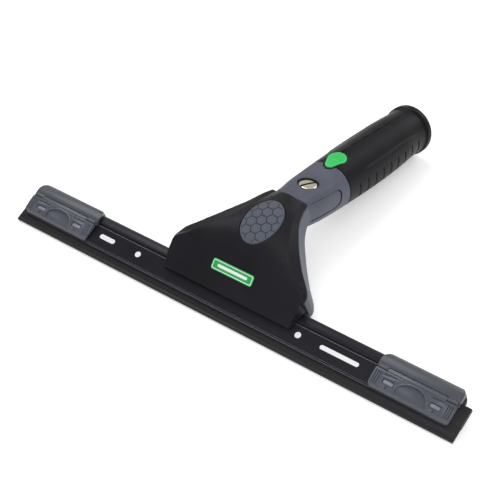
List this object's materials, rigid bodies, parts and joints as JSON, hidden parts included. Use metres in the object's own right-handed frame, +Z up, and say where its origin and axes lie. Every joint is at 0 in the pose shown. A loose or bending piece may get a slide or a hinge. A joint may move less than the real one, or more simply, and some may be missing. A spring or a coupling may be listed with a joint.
{
  "type": "window cleaning squeegee",
  "caption": "Squeegee: rubber blade in a metal channel with hinged end clips, clamped in a head that swivels on a round flanged handle with a lock button.",
  "frame": {"origin": "middle of the bounding box, on the table", "axes": "+X along the blade, +Y from the blade towards the end of the handle, +Z up from the table"},
  "size_m": [0.356, 0.2432, 0.0551],
  "materials": {
    "slate": "fine moulded grain",
    "smoke": "smoke grey, slightly translucent",
    "black": "fine moulded grain",
    "rubber": "matt",
    "anodised": "black anodised",
    "green": "satin",
    "nickel": "nickel plated",
    "steel": "plain",
    "bronze": "sintered bronze"
  },
  "bodies": {
    "head": {"blade": "rubber", "channel": "anodised", "clip_body_left": "smoke", "clip_body_right": "smoke", "clip_pin_left": "steel", "clip_pin_right": "steel", "lower_jaw": "slate", "lower_liner": "rubber", "jaw_hinge_pin": "steel", "jaw_leaf_spring": "steel", "leaf_spring_screw": "steel", "pivot_bush": "bronze"},
    "upper_jaw": {"upper_jaw": "black", "thumb_pad": "slate", "badge": "green", "upper_liner": "rubber"},
    "handle": {"neck_fork": "slate", "pivot_bolt": "nickel", "pivot_washer_upper": "steel", "pivot_washer_lower": "steel", "pivot_nut": "steel", "pivot_cap": "black", "neck_cross_pin": "steel", "handle_core": "black", "grip_sleeve": "rubber", "pole_insert": "black", "button_bezel": "black", "button_spring": "steel"},
    "lock_button": {"lock_button": "green"},
    "lock_bolt": {"lock_bolt": "steel"},
    "clip_lid_left": {"clip_lid_left": "smoke"},
    "clip_lid_right": {"clip_lid_right": "smoke"}
  },
  "joints": [
    {"name": "swivel", "type": "hinge", "parent": "head", "child": "handle", "pos_m": [-0.0012, -0.01546, 0.04856], "axis": [0, 0.1465, 0.9892], "range_deg": [-90, 90]},
    {"name": "jaw_open", "type": "hinge", "parent": "head", "child": "upper_jaw", "pos_m": [-0.0012, -0.04357, 0.04989], "axis": [-1, 0, 0], "range_deg": [0, 6], "stiffness_Nm_per_rad": 2, "springref_deg": -2.86},
    {"name": "lock_button", "type": "slide", "parent": "handle", "child": "lock_button", "axis": [0, -0.1465, -0.9892], "range_m": [0, 0.0025], "stiffness_N_per_m": 600, "springref_m": -0.002, "deforming": ["button_spring"]},
    {"name": "lock_bolt", "type": "slide", "parent": "handle", "child": "lock_bolt", "axis": [0, -0.9892, 0.1465], "range_m": [0, 0.0025]},
    {"name": "clip_lid_left", "type": "hinge", "parent": "head", "child": "clip_lid_left", "pos_m": [-0.1461, -0.10397, 0.01448], "axis": [-1, 0, 0], "range_deg": [0, 100]},
    {"name": "clip_lid_right", "type": "hinge", "parent": "head", "child": "clip_lid_right", "pos_m": [0.1427, -0.10397, 0.01448], "axis": [-1, 0, 0], "range_deg": [0, 100]}
  ],
  "couplings": [
    {"joint": "lock_bolt", "follows": "lock_button", "ratio": 1}
  ]
}
